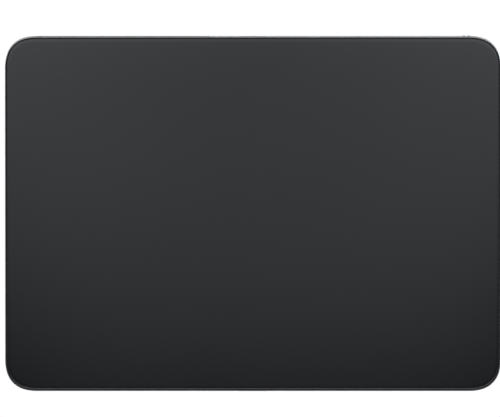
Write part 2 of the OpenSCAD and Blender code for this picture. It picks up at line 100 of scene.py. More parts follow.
def rrect(w, h, r, n=6, at=(0.0, 0.0)):
    pts = []
    for k, (sx, sy) in enumerate(((1, 1), (-1, 1), (-1, -1), (1, -1))):
        cx, cy = at[0] + sx * (w / 2 - r), at[1] + sy * (h / 2 - r)
        for j in range(n + 1):
            t = math.pi / 2 * (k + j / n)
            pts.append((cx + r * math.cos(t), cy + r * math.sin(t)))
    return pts


def stadium(w, h, n=16, at=(0.0, 0.0)):
    return rrect(w, h, h / 2 - 1e-6, n, at)


def circle(r, n=48, at=(0.0, 0.0)):
    return [(at[0] + r * math.cos(2 * math.pi * k / n), at[1] + r * math.sin(2 * math.pi * k / n)) for k in range(n)]


def moved_in(loop, d):
    """The loop moved d to the left of its travel, with mitred corners."""
    out, n = [], len(loop)
    for k in range(n):
        p, q, r = Vector(loop[k - 1]), Vector(loop[k]), Vector(loop[(k + 1) % n])
        e1, e2 = (q - p).normalized(), (r - q).normalized()
        n1, n2 = Vector((-e1.y, e1.x)), Vector((-e2.y, e2.x))
        m = n1 + n2
        m = m / max(0.35, m.dot(n1))
        out.append(tuple(q + m * d))
    return out


def inside(p, loop):
    hit, n = False, len(loop)
    for k in range(n):
        (x1, y1), (x2, y2) = loop[k - 1], loop[k]
        if (y1 > p[1]) != (y2 > p[1]) and p[0] < (x2 - x1) * (p[1] - y1) / (y2 - y1) + x1:
            hit = not hit
    return hit


# ------------------------------------------------------------------ meshes

class Shell:
    """Vertices in millimetres and faces, gathered into one mesh."""

    def __init__(self):
        self.v, self.f = [], []

    def ring(self, pts):
        start = len(self.v)
        self.v.extend(pts)
        return list(range(start, start + len(pts)))

    def bridge(self, a, b):
        n = len(a)
        for k in range(n):
            j = (k + 1) % n
            self.f.append((a[k], a[j], b[j], b[k]))

    def cap(self, ring, flip=False):
        self.f.append(tuple(reversed(ring)) if flip else tuple(ring))

    def loft(self, rings, first=True, last=True):
        """Rings that run counter-clockwise seen from the last one. Closes both ends with a face."""
        ids = [self.ring(r) for r in rings]
        for a, b in zip(ids, ids[1:]):
            self.bridge(a, b)
        if first:
            self.cap(ids[0], True)
        if last:
            self.cap(ids[-1])
        return ids

    def prism(self, loops, z0, z1, edge=0.1, steps=2, place=None, grid=()):
        """A plate between z0 and z1. loops[0] runs counter-clockwise, the holes after it clockwise. Its edges are
        rounded by edge, and its faces take the extra points of grid."""
        place = place or (lambda p: p)
        levels = []
        for k in range(steps + 1):
            t = k / steps * math.pi / 2
            levels.append((edge * (1 - math.sin(t)), z0 + edge * (1 - math.cos(t))))
        levels += [(i, z0 + z1 - z) for i, z in reversed(levels)]
        first, last = [], []
        for loop in loops:
            ids = []
            for i, z in levels:
                pts = moved_in(loop, i) if i > 1e-9 else loop
                ids.append(self.ring([place((x, y, z)) for x, y in pts]))
            for a, b in zip(ids, ids[1:]):
                self.bridge(a, b)
            first.append(ids[0])
            last.append(ids[-1])
        flat = [moved_in(loop, edge) for loop in loops]
        extra = [g for g in grid if inside(g, flat[0]) and not any(inside(g, h) for h in flat[1:])]
        pts = [p for loop in flat for p in loop] + extra
        lines, start = [], 0
        for loop in flat:
            n = len(loop)
            lines += [(start + k, start + (k + 1) % n) for k in range(n)]
            start += n
        made = geometry.delaunay_2d_cdt([Vector(p) for p in pts], lines, [], 0, 1e-7)
        for ids, z, flip in ((first, z0, True), (last, z1, False)):
            index = [i for ring in ids for i in ring]
            index += self.ring([place((g[0], g[1], z)) for g in extra])
            back = [o[0] for o in made[3]]
            for f in made[2]:
                c = sum((made[0][k] for k in f), Vector((0, 0))) / len(f)
                if inside(c, flat[0]) and not any(inside(c, h) for h in flat[1:]):
                    face = [index[back[k]] for k in f]
                    self.f.append(tuple(reversed(face)) if flip else tuple(face))

    def lathe(self, profile, at=(0.0, 0.0), n=96):
        """profile is (r, z) from the bottom middle, out and up, to the top middle. The ends are closed by a face."""
        rings = [[(at[0] + r * math.cos(2 * math.pi * k / n), at[1] + r * math.sin(2 * math.pi * k / n), z) for k in range(n)] for r, z in profile]
        self.loft(rings)

    def mesh(self, name):
        me = bpy.data.meshes.new(name)
        me.from_pydata([(x * MM, y * MM, z * MM) for x, y, z in self.v], [], self.f)
        me.validate()
        me.update()
        return me


def new_object(name, me):
    o = bpy.data.objects.new(name, me)
    SCENE.collection.objects.link(o)
    return o


def joined(base, others, how):
    """base cut by or joined with the other meshes, as a new mesh."""
    o = new_object("work", base)
    tools = []
    for me in others:
        t = new_object("tool", me)
        m = o.modifiers.new("b", "BOOLEAN")
        m.object, m.operation, m.solver = t, how, "EXACT"
        tools.append(t)
    bpy.context.view_layer.update()
    dg = bpy.context.evaluated_depsgraph_get()
    out = bpy.data.meshes.new_from_object(o.evaluated_get(dg))
    for t in (o, *tools):
        bpy.data.objects.remove(t)
    return out


def tidy(me, merge=1e-6):
    """Merges doubles and dissolves what is flat, so that a bevel finds clean edges."""
    bm = bmesh.new()
    bm.from_mesh(me)
    bmesh.ops.remove_doubles(bm, verts=bm.verts, dist=merge)
    bmesh.ops.dissolve_degenerate(bm, dist=1e-6, edges=bm.edges)
    bmesh.ops.recalc_face_normals(bm, faces=bm.faces)
    bm.to_mesh(me)
    bm.free()
    return me


def shaded(me, angle=40.0):
    """Smooth shading that keeps flat faces flat: edges that turn by more than the angle stay crisp, and each corner takes the
    mean of the faces round it, weighted by their size."""
    bm = bmesh.new()
    bm.from_mesh(me)
    limit = math.radians(angle)
    for e in bm.edges:
        e.smooth = len(e.link_faces) == 2 and e.calc_face_angle(0.0) <= limit
    for f in bm.faces:
        f.smooth = True
    area = {f: f.calc_area() for f in bm.faces}
    found = {}
    for v in bm.verts:
        left = {c.face: c for c in v.link_loops}
        while left:
            todo, fan = [next(iter(left))], []
            while todo:
                f = todo.pop()
                c = left.pop(f, None)
                if c is None:
                    continue
                fan.append(c)
                for e in (c.edge, c.link_loop_prev.edge):
                    if e.smooth:
                        todo += [g for g in e.link_faces if g in left]
            n = sum((c.face.normal * area[c.face] for c in fan), Vector())
            n = n.normalized() if n.length > 1e-20 else fan[0].face.normal.copy()
            for c in fan:
                found[c] = n
    normals = [found[c] for f in bm.faces for c in f.loops]
    bm.to_mesh(me)
    bm.free()
    me.normals_split_custom_set(normals)


def eased(me, pick, width, steps=3, angle=30.0):
    """Rounds the sharp edges whose two ends pick accepts, in place. pick takes a point in millimetres."""
    bm = bmesh.new()
    bm.from_mesh(me)
    limit = math.radians(angle)
    edges = [e for e in bm.edges if len(e.link_faces) == 2 and e.calc_face_angle(0.0) > limit and all(pick(*(v.co / MM)) for v in e.verts)]
    bmesh.ops.bevel(bm, geom=edges, offset=width * MM, offset_type="OFFSET", segments=steps, profile=0.5, affect="EDGES",
                    clamp_overlap=False, loop_slide=False)
    bm.to_mesh(me)
    bm.free()
    return me


def piece(name, me, mat, body=None, node=None, angle=40.0):
    o = new_object(name, me)
    o.data.materials.clear()
    o.data.materials.append(mat)
    shaded(o.data, angle)
    if body:
        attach(o, body)
    if node:
        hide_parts(node)
    return o


# ------------------------------------------------------------------ materials

class Look:
    """A principled material with helpers for its textures, which all read the object's own coordinates."""

    def __init__(self, name, color=(0.5, 0.5, 0.5), rough=0.5, metal=0.0, ior=1.5, **more):
        self.m = bpy.data.materials.new(name)
        self.m.use_nodes = True
        self.t = self.m.node_tree
        self.t.nodes.clear()
        out = self.t.nodes.new("ShaderNodeOutputMaterial")
        self.b = self.t.nodes.new("ShaderNodeBsdfPrincipled")
        self.link(self.b.outputs[0], out.inputs[0])
        self.set("Base Color", (*color, 1.0))
        self.set("Roughness", rough)
        self.set("Metallic", metal)
        self.set("IOR", ior)
        for k, v in more.items():
            self.set(k.replace("_", " "), v)
        self.coord = self.t.nodes.new("ShaderNodeTexCoord").outputs["Object"]
        self.normal = None

    def link(self, a, b):
        self.t.links.new(a, b)

    def set(self, name, value):
        self.b.inputs[name].default_value = value

    def at(self, scale=(1, 1, 1), turn=(0, 0, 0), move=(0, 0, 0)):
        """Coordinates in millimetres, stretched by scale."""
        n = self.t.nodes.new("ShaderNodeMapping")
        n.vector_type = "POINT"
        n.inputs["Scale"].default_value = [1000.0 * s for s in scale]
        n.inputs["Rotation"].default_value = [math.radians(a) for a in turn]
        n.inputs["Location"].default_value = move
        self.link(self.coord, n.inputs["Vector"])
        return n.outputs["Vector"]

    def noise(self, scale, detail=3.0, rough=0.5, where=None, distort=0.0):
        n = self.t.nodes.new("ShaderNodeTexNoise")
        n.inputs["Scale"].default_value = scale
        n.inputs["Detail"].default_value = detail
        n.inputs["Roughness"].default_value = rough
        n.inputs["Distortion"].default_value = distort
        self.link(where or self.at(), n.inputs["Vector"])
        return n.outputs[0]

    def cells(self, scale, where=None, feature="F1", out="Distance", jitter=1.0):
        n = self.t.nodes.new("ShaderNodeTexVoronoi")
        n.feature = feature
        n.inputs["Scale"].default_value = scale
        n.inputs["Randomness"].default_value = jitter
        self.link(where or self.at(), n.inputs["Vector"])
        return n.outputs[out]

    def wave(self, scale, direction="X", distort=0.0, detail=0.0, where=None, kind="BANDS", profile="SIN"):
        n = self.t.nodes.new("ShaderNodeTexWave")
        n.wave_type, n.wave_profile = kind, profile
        if kind == "BANDS":
            n.bands_direction = direction
        else:
            n.rings_direction = direction
        n.inputs["Scale"].default_value = scale
        n.inputs["Distortion"].default_value = distort
        n.inputs["Detail"].default_value = detail
        self.link(where or self.at(), n.inputs["Vector"])
        return n.outputs["Fac"]

    def brick(self, w, h, gap, where=None, offset=0.5):
        n = self.t.nodes.new("ShaderNodeTexBrick")
        n.offset = offset
        n.inputs["Scale"].default_value = 1.0
        n.inputs["Brick Width"].default_value = w
        n.inputs["Row Height"].default_value = h
        n.inputs["Mortar Size"].default_value = gap
        n.inputs["Mortar Smooth"].default_value = 0.2
        self.link(where or self.at(), n.inputs["Vector"])
        return n.outputs["Fac"]

    def math(self, op, a, b):
        n = self.t.nodes.new("ShaderNodeMath")
        n.operation = op
        for k, x in enumerate((a, b)):
            if isinstance(x, (int, float)):
                n.inputs[k].default_value = x
            else:
                self.link(x, n.inputs[k])
        return n.outputs[0]

    def parts(self):
        """x, y and z in millimetres."""
        n = self.t.nodes.new("ShaderNodeSeparateXYZ")
        self.link(self.at(), n.inputs[0])
        return n.outputs

    def near(self, value, middle, reach):
        """1 where the value is within reach of the middle, else 0."""
        n = self.math("ABSOLUTE", self.math("SUBTRACT", value, middle), 0.0)
        return self.math("LESS_THAN", n, reach)

    def span(self, value, lo, hi, frm=(0.0, 1.0), kind="LINEAR"):
        n = self.t.nodes.new("ShaderNodeMapRange")
        n.interpolation_type = kind
        n.inputs["From Min"].default_value, n.inputs["From Max"].default_value = frm
        n.inputs["To Min"].default_value, n.inputs["To Max"].default_value = lo, hi
        self.link(value, n.inputs["Value"])
        return n.outputs[0]

    def ramp(self, value, *stops, hard=False):
        n = self.t.nodes.new("ShaderNodeValToRGB")
        r = n.color_ramp
        r.interpolation = "CONSTANT" if hard else "LINEAR"
        while len(r.elements) < len(stops):
            r.elements.new(0.5)
        for e, (p, c) in zip(r.elements, stops):
            e.position = p
            e.color = (*c, 1.0)
        self.link(value, n.inputs["Fac"])
        return n.outputs["Color"]

    def mix(self, fac, a, b, kind="MIX"):
        n = self.t.nodes.new("ShaderNodeMix")
        n.data_type, n.blend_type = "RGBA", kind
        for key, x in (("Factor_Float", fac), ("A_Color", a), ("B_Color", b)):
            s = next(i for i in n.inputs if i.identifier == key)
            if isinstance(x, (int, float)):
                s.default_value = x
            elif isinstance(x, tuple):
                s.default_value = (*x, 1.0)
            else:
                self.link(x, s)
        return next(o for o in n.outputs if o.identifier == "Result_Color")

    def color(self, socket):
        self.link(socket, self.b.inputs["Base Color"])
        return self

    def rough(self, value, lo, hi, frm=(0.25, 0.75)):
        self.link(self.span(value, lo, hi, frm), self.b.inputs["Roughness"])
        return self

    def bump(self, height, depth, strength=1.0):
        """Adds relief, depth in millimetres."""
        n = self.t.nodes.new("ShaderNodeBump")
        n.inputs["Strength"].default_value = strength
        n.inputs["Distance"].default_value = depth * MM
        self.link(height, n.inputs["Height"])
        if self.normal is not None:
            self.link(self.normal, n.inputs["Normal"])
        self.normal = n.outputs["Normal"]
        self.link(self.normal, self.b.inputs["Normal"])
        return self


def looks():
    """Every material of the object, by the record's slot."""
    out = {}

    # bead-blasted, clear-anodised aluminium: fine pits, a faint cloudiness of the oxide. The walls of the port hole and
    # the switch slot are painted darker, as painted shade in the holes.
    k = Look("anodised_aluminium", rough=0.36, metal=1.0)
    pits, cloud = k.noise(9.0, 2.0, 0.6), k.noise(0.11, 4.0, 0.55)
    skin = k.mix(0.35, k.ramp(cloud, (0.3, (0.775, 0.780, 0.788)), (0.7, (0.83, 0.834, 0.84))),
                 k.ramp(pits, (0.3, (0.73, 0.734, 0.742)), (0.7, (0.85, 0.854, 0.86))))
    mm = k.parts()
    holes = [k.math("MULTIPLY", k.near(mm[0], x, w), k.near(mm[2], z, h)) for x, w, z, h in ((0.0, 4.6, PORT_Z, 1.75), (SW_X, 2.55, SW_Z, 1.05))]
    # painted shade: the hole walls just inside the outer face take a dark colour
    painted_hole_shade = k.math("MULTIPLY", k.math("MAXIMUM", *holes), k.span(mm[1], 1.0, 0.0, (Y_OUT - 0.04, Y_OUT - 0.005)))
    k.color(k.mix(painted_hole_shade, skin, k.ramp(pits, (0.3, (0.17, 0.172, 0.178)), (0.7, (0.24, 0.242, 0.248)))))
    k.rough(cloud, 0.33, 0.40).bump(pits, 0.006, 0.35)
    out["anodised_aluminium"] = k.m

    # etched touch glass over black ink
    k = Look("black_glass", rough=0.25, ior=1.5)
    etch, film = k.noise(22.0, 2.0, 0.6), k.noise(0.045, 5.0, 0.6)
    k.color(k.ramp(k.noise(0.02, 3.0), (0.3, (0.0046, 0.0048, 0.0054)), (0.7, (0.0060, 0.0062, 0.0070))))
    k.rough(film, 0.24, 0.265).bump(etch, 0.0012, 0.25)
    out["black_glass"] = k.m

    # moulded rubber of the feet
    k = Look("foot_rubber", rough=0.75, ior=1.52)
    grain, dust = k.noise(7.0, 4.0, 0.65), k.noise(0.5, 4.0, 0.6)
    k.color(k.mix(0.5, k.ramp(grain, (0.3, (0.060, 0.060, 0.063)), (0.7, (0.088, 0.088, 0.091))), k.ramp(dust, (0.35, (0.058, 0.058, 0.061)), (0.75, (0.110, 0.109, 0.108)))))
    k.rough(dust, 0.66, 0.86).bump(grain, 0.02, 0.6)
    out["foot_rubber"] = k.m

    # double-sided adhesive with a paper-like fibre
    k = Look("adhesive", rough=0.6)
    fibre = k.noise(1.6, 5.0, 0.6, k.at((1.0, 0.25, 1.0)))
    k.color(k.ramp(fibre, (0.3, (0.60, 0.575, 0.47)), (0.7, (0.75, 0.73, 0.63)))).rough(fibre, 0.5, 0.75).bump(fibre, 0.01, 0.6)
    out["adhesive"] = k.m

    # spark-textured plastic of the radio window
    k = Look("window_plastic", rough=0.8, ior=1.5, Specular_IOR_Level=0.0)
    spark, tone = k.cells(7.0), k.noise(0.35, 4.0)
    k.color(k.ramp(tone, (0.3, (0.024, 0.0245, 0.026)), (0.7, (0.034, 0.0345, 0.036)))).rough(tone, 0.74, 0.86).bump(spark, 0.008, 0.5)
    out["window_plastic"] = k.m

    # polyimide flat cable: amber film over copper tracks
    k = Look("copper_flex", rough=0.33, ior=1.6, Coat_Weight=0.3, Coat_Roughness=0.15)
    tracks = k.wave(1.1, "X")
    film = k.noise(0.8, 4.0)
    k.color(k.mix(k.span(tracks, 0.0, 1.0, (0.35, 0.65)), k.ramp(film, (0.3, (0.30, 0.105, 0.012)), (0.7, (0.40, 0.15, 0.02))), (0.52, 0.235, 0.055)))
    k.rough(film, 0.28, 0.4).bump(tracks, 0.02, 0.7)
    out["copper_flex"] = k.m

    k = Look("coax_jacket", rough=0.42, ior=1.5)
    weave = k.noise(6.0, 3.0)
    k.color(k.ramp(weave, (0.3, (0.018, 0.018, 0.019)), (0.7, (0.035, 0.035, 0.037)))).rough(weave, 0.36, 0.5).bump(weave, 0.01, 0.5)
    out["coax_jacket"] = k.m

    # nickel-plated screws
    k = Look("screw_steel", rough=0.28, metal=1.0)
    turn, spot = k.noise(14.0, 2.0, 0.5, k.at((1, 1, 0.2))), k.noise(1.5, 5.0)
    k.color(k.ramp(spot, (0.3, (0.46, 0.455, 0.44)), (0.7, (0.60, 0.595, 0.58)))).rough(spot, 0.22, 0.38).bump(turn, 0.004, 0.5)
    out["screw_steel"] = k.m

    # rolled spring steel
    k = Look("spring_steel", rough=0.3, metal=1.0)
    grain = k.noise(3.0, 5.0, 0.6, k.at((0.12, 3.0, 1.0)))
    k.color(k.ramp(grain, (0.3, (0.44, 0.445, 0.455)), (0.7, (0.60, 0.605, 0.61)))).rough(grain, 0.24, 0.4).bump(grain, 0.006, 0.5)
    out["spring_steel"] = k.m

    k = Look("gel", rough=0.35, ior=1.41, Transmission_Weight=0.35)
    cloud = k.noise(0.9, 4.0)
    k.color(k.ramp(cloud, (0.3, (0.30, 0.36, 0.43)), (0.7, (0.42, 0.48, 0.55)))).rough(cloud, 0.28, 0.42).bump(k.noise(5.0, 2.0), 0.01, 0.4)
    out["gel"] = k.m

    # circuit board: solder mask over tracks and via rows
    k = Look("board_laminate", rough=0.38, ior=1.5, Coat_Weight=0.25, Coat_Roughness=0.2)
    lanes = k.brick(3.1, 0.62, 0.10)
    cross = k.brick(0.9, 4.3, 0.09, offset=0.3)
    vias = k.cells(0.62, jitter=0.55)
    copper = k.math("MAXIMUM", lanes, cross)
    mask = k.mix(copper, (0.010, 0.052, 0.030), (0.020, 0.094, 0.052))
    k.color(k.mix(k.span(vias, 1.0, 0.0, (0.10, 0.16)), mask, (0.55, 0.42, 0.16))).rough(k.noise(2.0, 3.0), 0.32, 0.45).bump(copper, 0.02, 0.6)
    out["board_laminate"] = k.m

    k = Look("chip_epoxy", rough=0.55, ior=1.55)
    speck = k.noise(9.0, 4.0, 0.7)
    k.color(k.ramp(speck, (0.35, (0.013, 0.013, 0.014)), (0.75, (0.040, 0.040, 0.041)))).rough(speck, 0.48, 0.66).bump(speck, 0.012, 0.5)
    out["chip_epoxy"] = k.m

    k = Look("connector_plastic", rough=0.5, ior=1.6)
    flow = k.noise(1.2, 4.0, 0.5, k.at((1.0, 0.3, 1.0)))
    k.color(k.ramp(flow, (0.3, (0.56, 0.53, 0.45)), (0.7, (0.69, 0.665, 0.59)))).rough(flow, 0.42, 0.58).bump(k.wave(2.0, "X"), 0.02, 0.4)
    out["connector_plastic"] = k.m

    # cold-rolled steel plate
    k = Look("plate_steel", rough=0.4, metal=1.0)
    grain, stain = k.noise(2.2, 5.0, 0.6, k.at((3.0, 0.10, 1.0))), k.noise(0.08, 4.0)
    k.color(k.mix(0.4, k.ramp(grain, (0.3, (0.45, 0.455, 0.46)), (0.7, (0.58, 0.585, 0.59))), k.ramp(stain, (0.3, (0.44, 0.44, 0.45)), (0.7, (0.60, 0.60, 0.60)))))
    k.rough(grain, 0.32, 0.5).bump(grain, 0.008, 0.5)
    out["plate_steel"] = k.m

    k = Look("rail_steel", rough=0.38, metal=1.0)
    grind = k.noise(3.0, 5.0, 0.6, k.at((1.0, 0.15, 3.0)))
    k.color(k.ramp(grind, (0.3, (0.27, 0.27, 0.28)), (0.7, (0.42, 0.42, 0.43)))).rough(grind, 0.3, 0.48).bump(grind, 0.01, 0.5)
    out["rail_steel"] = k.m

    # oxide-coated sheets of the core
    k = Look("core_steel", rough=0.45, metal=1.0)
    rolled, tone = k.noise(2.5, 4.0, 0.6, k.at((2.5, 0.12, 1.0))), k.noise(0.7, 4.0)
    k.color(k.mix(0.5, k.ramp(rolled, (0.3, (0.17, 0.17, 0.185)), (0.7, (0.28, 0.28, 0.295))), k.ramp(tone, (0.3, (0.19, 0.19, 0.21)), (0.7, (0.31, 0.31, 0.325)))))
    k.rough(tone, 0.38, 0.55).bump(rolled, 0.006, 0.5)
    out["core_steel"] = k.m

    k = Look("bobbin_plastic", rough=0.5, ior=1.53)
    flow = k.noise(2.4, 4.0)
    k.color(k.ramp(flow, (0.3, (0.014, 0.014, 0.015)), (0.7, (0.030, 0.030, 0.032)))).rough(flow, 0.42, 0.6).bump(flow, 0.01, 0.5)
    out["bobbin_plastic"] = k.m

    # enamelled copper wire, with painted shade in the gaps between the turns
    k = Look("copper_wire", rough=0.26, metal=1.0, Coat_Weight=0.6, Coat_Roughness=0.12)
    # painted shade: the colour goes dark in the gaps between the turns, every 0.3 mm along x
    gap = k.math("PINGPONG", k.math("DIVIDE", k.math("SUBTRACT", k.math("ABSOLUTE", k.parts()[0], 0.0), 2.2), 0.3), 0.5)
    tone = k.noise(1.1, 4.0)
    k.color(k.mix(k.span(gap, 0.0, 1.0, (0.02, 0.2)), (0.20, 0.060, 0.018), k.ramp(tone, (0.3, (0.62, 0.25, 0.085)), (0.7, (0.80, 0.38, 0.15)))))
    k.rough(tone, 0.2, 0.34).bump(k.noise(6.0, 2.0), 0.004, 0.4)
    out["copper_wire"] = k.m

    k = Look("tin_plate", rough=0.33, metal=1.0)
    spangle, scuff = k.cells(0.9, out="Color"), k.noise(2.0, 5.0, 0.6, k.at((0.3, 2.0, 1.0)))
    k.color(k.mix(0.3, k.ramp(scuff, (0.3, (0.60, 0.605, 0.61)), (0.7, (0.72, 0.725, 0.73))), k.ramp(spangle, (0.2, (0.56, 0.565, 0.57)), (0.8, (0.72, 0.725, 0.73)))))
    k.rough(scuff, 0.26, 0.42).bump(scuff, 0.006, 0.5)
    out["tin_plate"] = k.m

    k = Look("gold_contact", rough=0.22, metal=1.0)
    wear = k.noise(3.0, 4.0, 0.6, k.at((3.0, 0.4, 1.0)))
    k.color(k.ramp(wear, (0.3, (0.80, 0.55, 0.19)), (0.7, (0.90, 0.68, 0.30)))).rough(wear, 0.16, 0.32).bump(wear, 0.004, 0.5)
    out["gold_contact"] = k.m

    k = Look("port_plastic", rough=0.45, ior=1.6)
    flow = k.noise(3.0, 4.0, 0.5, k.at((0.4, 1.5, 1.0)))
    k.color(k.ramp(flow, (0.3, (0.012, 0.012, 0.013)), (0.7, (0.026, 0.026, 0.028)))).rough(flow, 0.38, 0.55).bump(flow, 0.008, 0.5)
    out["port_plastic"] = k.m

    # painted plastic of the slide, matched to the metal
    k = Look("knob_plastic", rough=0.42, metal=0.0, ior=1.5)
    flake, tone = k.cells(12.0), k.noise(1.2, 3.0)
    k.color(k.mix(0.4, k.ramp(flake, (0.1, (0.36, 0.364, 0.372)), (0.7, (0.28, 0.284, 0.292))), k.ramp(tone, (0.3, (0.30, 0.304, 0.312)), (0.7, (0.35, 0.354, 0.362)))))
    k.rough(tone, 0.36, 0.48).bump(flake, 0.004, 0.4)
    out["knob_plastic"] = k.m

    # foil pouch of the cells
    k = Look("cell_foil", rough=0.42, metal=0.0, ior=1.5, Coat_Weight=0.25, Coat_Roughness=0.25)
    crease, dimple = k.noise(0.12, 5.0, 0.6), k.noise(1.4, 3.0)
    k.color(k.ramp(crease, (0.3, (0.030, 0.031, 0.034)), (0.7, (0.052, 0.053, 0.057)))).rough(dimple, 0.34, 0.5).bump(crease, 0.25, 0.5).bump(dimple, 0.01, 0.4)
    out["cell_foil"] = k.m

    k = Look("tape", rough=0.62)
    weave = k.brick(0.5, 0.5, 0.08)
    tone = k.noise(0.7, 4.0)
    k.color(k.mix(k.span(weave, 0.0, 0.5), k.ramp(tone, (0.3, (0.62, 0.60, 0.53)), (0.7, (0.74, 0.725, 0.66))), (0.50, 0.48, 0.42))).rough(tone, 0.52, 0.72).bump(weave, 0.01, 0.5)
    out["tape"] = k.m
    return out


LOOK = looks()

# ------------------------------------------------------------------ glass

def edge_curve(depth, n=22):
    """(inset, drop) from the side up to the flat. The curvature fades out towards the flat, so that the reflection runs off softly."""
    m, pts, x, z = 400, [(0.0, 0.0)], 0.0, 0.0
    for k in range(m):
        a = math.pi / 2 * (1 - (k + 0.5) / m) ** 2.5
        x, z = x + math.cos(a) / m, z + math.sin(a) / m
        pts.append((x, z))
    scale = depth / z
    return [(pts[k][0] * scale, (pts[k][1] - z) * scale) for k in (round(m * (j / n)) for j in range(n + 1))]


def glass():
    s = Shell()
    curve = edge_curve(0.87)
    prof = [(0.10, W_GLASS), (0.03, W_GLASS + 0.03), (0.0, W_GLASS + 0.09)] + curve + [(curve[-1][0] + 0.3, 0.0)]
    rings = [[tilted((x, y, w)) for x, y in outline(GA, GB, i)] for i, w in prof]
    s.loft(rings)
    piece("glass_plate", s.mesh("glass_plate"), LOOK["black_glass"], "touch_plate", "touch_glass", 50.0)


# ------------------------------------------------------------------ tray

BOARD_POSTS = ((-1, 42.9), (24, 51), (55.5, 43.2), (-7.5, 50), (7.5, 50))
SWITCH_POSTS = ((SW_X - 6.3, 50), (SW_X + 6.1, 50.2))
HAPTIC_POSTS = ((-9, -13.5), (9, -13.5), (-9, 29.5), (9, 29.5))


def upright(r, z0, z1, at, n=32, top=None):
    """A closed cylinder, whose upper end may follow the plane w = top."""
    s = Shell()
    ends = [[(x, y, z0) for x, y in circle(r, n, at)], [(x, y, on_plane(y, top) if top is not None else z1) for x, y in circle(r, n, at)]]
    s.loft(ends)
    return s.mesh("tool")


def leaning(r, w0, w1, u, v, n=32):
    s = Shell()
    s.loft([[tilted((x, y, w)) for x, y in circle(r, n, (u, v))] for w in (w0, w1)])
    return s.mesh("tool")


def through_wall(loop, y0, y1):
    """A plan shape stood up in the back wall."""
    s = Shell()
    s.loft([[(x, y, z) for x, z in loop] for y in (y1, y0)])
    return s.mesh("tool")


def tray():
    s = Shell()
    rings = []
    for k in range(11):
        t = k / 10 * math.pi / 2
        rings.append([(x, y, FOOT_GAP + EDGE_R * (1 - math.cos(t))) for x, y in outline(A0, B0, EDGE_R * (1 - math.sin(t)))])
    rings.append([(x, y, on_plane(y, W_RIM)) for x, y in outline(A0, B0)])
    s.loft(rings)
    body = s.mesh("tray")

    s = Shell()
    ri = 0.6
    hollow = []
    for k in range(5):
        t = k / 4 * math.pi / 2
        hollow.append([(x, y, ZF + ri * (1 - math.cos(t))) for x, y in outline(A0, B0, WALL + ri * (1 - math.sin(t)))])
    hollow.append([(x, y, 14.0) for x, y in outline(A0, B0, WALL)])
    s.loft(hollow)
    body = joined(body, [s.mesh("hollow")], "DIFFERENCE")

    posts = [upright(2.0, ZF - 0.3, MB_Z0, p) for p in BOARD_POSTS]
    posts += [upright(1.7, ZF - 0.3, 3.85, p) for p in SWITCH_POSTS]
    posts += [upright(2.0, ZF - 0.3, 2.2, p) for p in HAPTIC_POSTS]
    for sx in (-1, 1):
        for sv in (-1, 1):
            x, y, _ = tilted((sx * BEAM_X, sv * BEAM_V, W_END))
            posts.append(upright(3.6, ZF - 0.3, 0, (x, y), 48, W_END))
    body = joined(body, posts, "UNION")

    cuts = [upright(0.8, 1.0, 6.0, p, 24) for p in BOARD_POSTS + HAPTIC_POSTS]
    cuts += [upright(0.7, 2.4, 7.4, p, 24) for p in SWITCH_POSTS]
    for sx in (-1, 1):
        for sv in (-1, 1):
            cuts.append(upright(6.15, -1.0, FOOT_GAP + 0.5, (sx * BEAM_X, sv * BEAM_V), 96))
            cuts.append(leaning(1.1, -20, 0, sx * BEAM_X, sv * BEAM_V))
            lo = -14.45 if sv < 0 else -18.85
            cuts.append(leaning(2.1, lo, lo + 10.5, sx * BEAM_X, sv * BEAM_V))
    cuts.append(through_wall(stadium(9.1, 3.42, 20, (0, PORT_Z)), Y_IN - 1, Y_OUT + 1))
    cuts.append(through_wall(stadium(5.0, 2.0, 16, (SW_X, SW_Z)), Y_IN - 1, Y_OUT + 1))
    cuts.append(through_wall(rrect(55.8, 3.6, 1.0, 8, (WIN_X, WIN_Z)), Y_IN - 1, Y_OUT + 1))
    body = tidy(joined(body, cuts, "DIFFERENCE"))
    eased(body, lambda x, y, z: abs(z - on_plane(y, W_RIM)) < 0.004 and not inside((x, y), outline(A0, B0, 0.9)), 0.02)
    eased(body, lambda x, y, z: abs(z - on_plane(y, W_RIM)) < 0.004 and inside((x, y), outline(A0, B0, 0.9)), 0.14)
    eased(body, lambda x, y, z: y > Y_OUT - 0.05 and abs(x) < 4.7 and abs(z - PORT_Z) < 1.9, 0.04)
    eased(body, lambda x, y, z: y > Y_OUT - 0.05 and abs(x - SW_X) < 2.7 and abs(z - SW_Z) < 1.2, 0.04)
    eased(body, lambda x, y, z: y > Y_OUT - 0.05 and abs(x - WIN_X) < 28.2 and abs(z - WIN_Z) < 2.0, 0.03, 2)
    eased(body, lambda x, y, z: abs(z - FOOT_GAP) < 0.004 and abs(math.hypot(abs(x) - BEAM_X, abs(y) - BEAM_V) - 6.15) < 0.02, 0.10)
    piece("enclosure_tray", body, LOOK["anodised_aluminium"], "case", "enclosure", 50.0)


# ------------------------------------------------------------------ feet

def feet():
    names = {(-1, -1): "foot_front_left", (1, -1): "foot_front_right", (-1, 1): "foot_rear_left", (1, 1): "foot_rear_right"}
    for (sx, sy), name in names.items():
        s = Shell()
        prof = [(0.4, 0.10), (4.3, 0.10), (4.42, 0.07), (4.5, 0.02), (4.6, 0.0), (5.5, 0.0)]
        for k in range(1, 7):
            t = k / 6 * math.pi / 2
            prof.append((5.5 + 0.5 * math.sin(t), 0.5 * (1 - math.cos(t))))
        prof += [(6.0, 0.94), (5.96, 1.0), (0.4, 1.0)]
        s.lathe(prof, (sx * BEAM_X, sy * BEAM_V))
        piece(name, s.mesh(name), LOOK["foot_rubber"], "case", "rubber_feet", 45.0)


# ------------------------------------------------------------------ back wall: window, port, switch

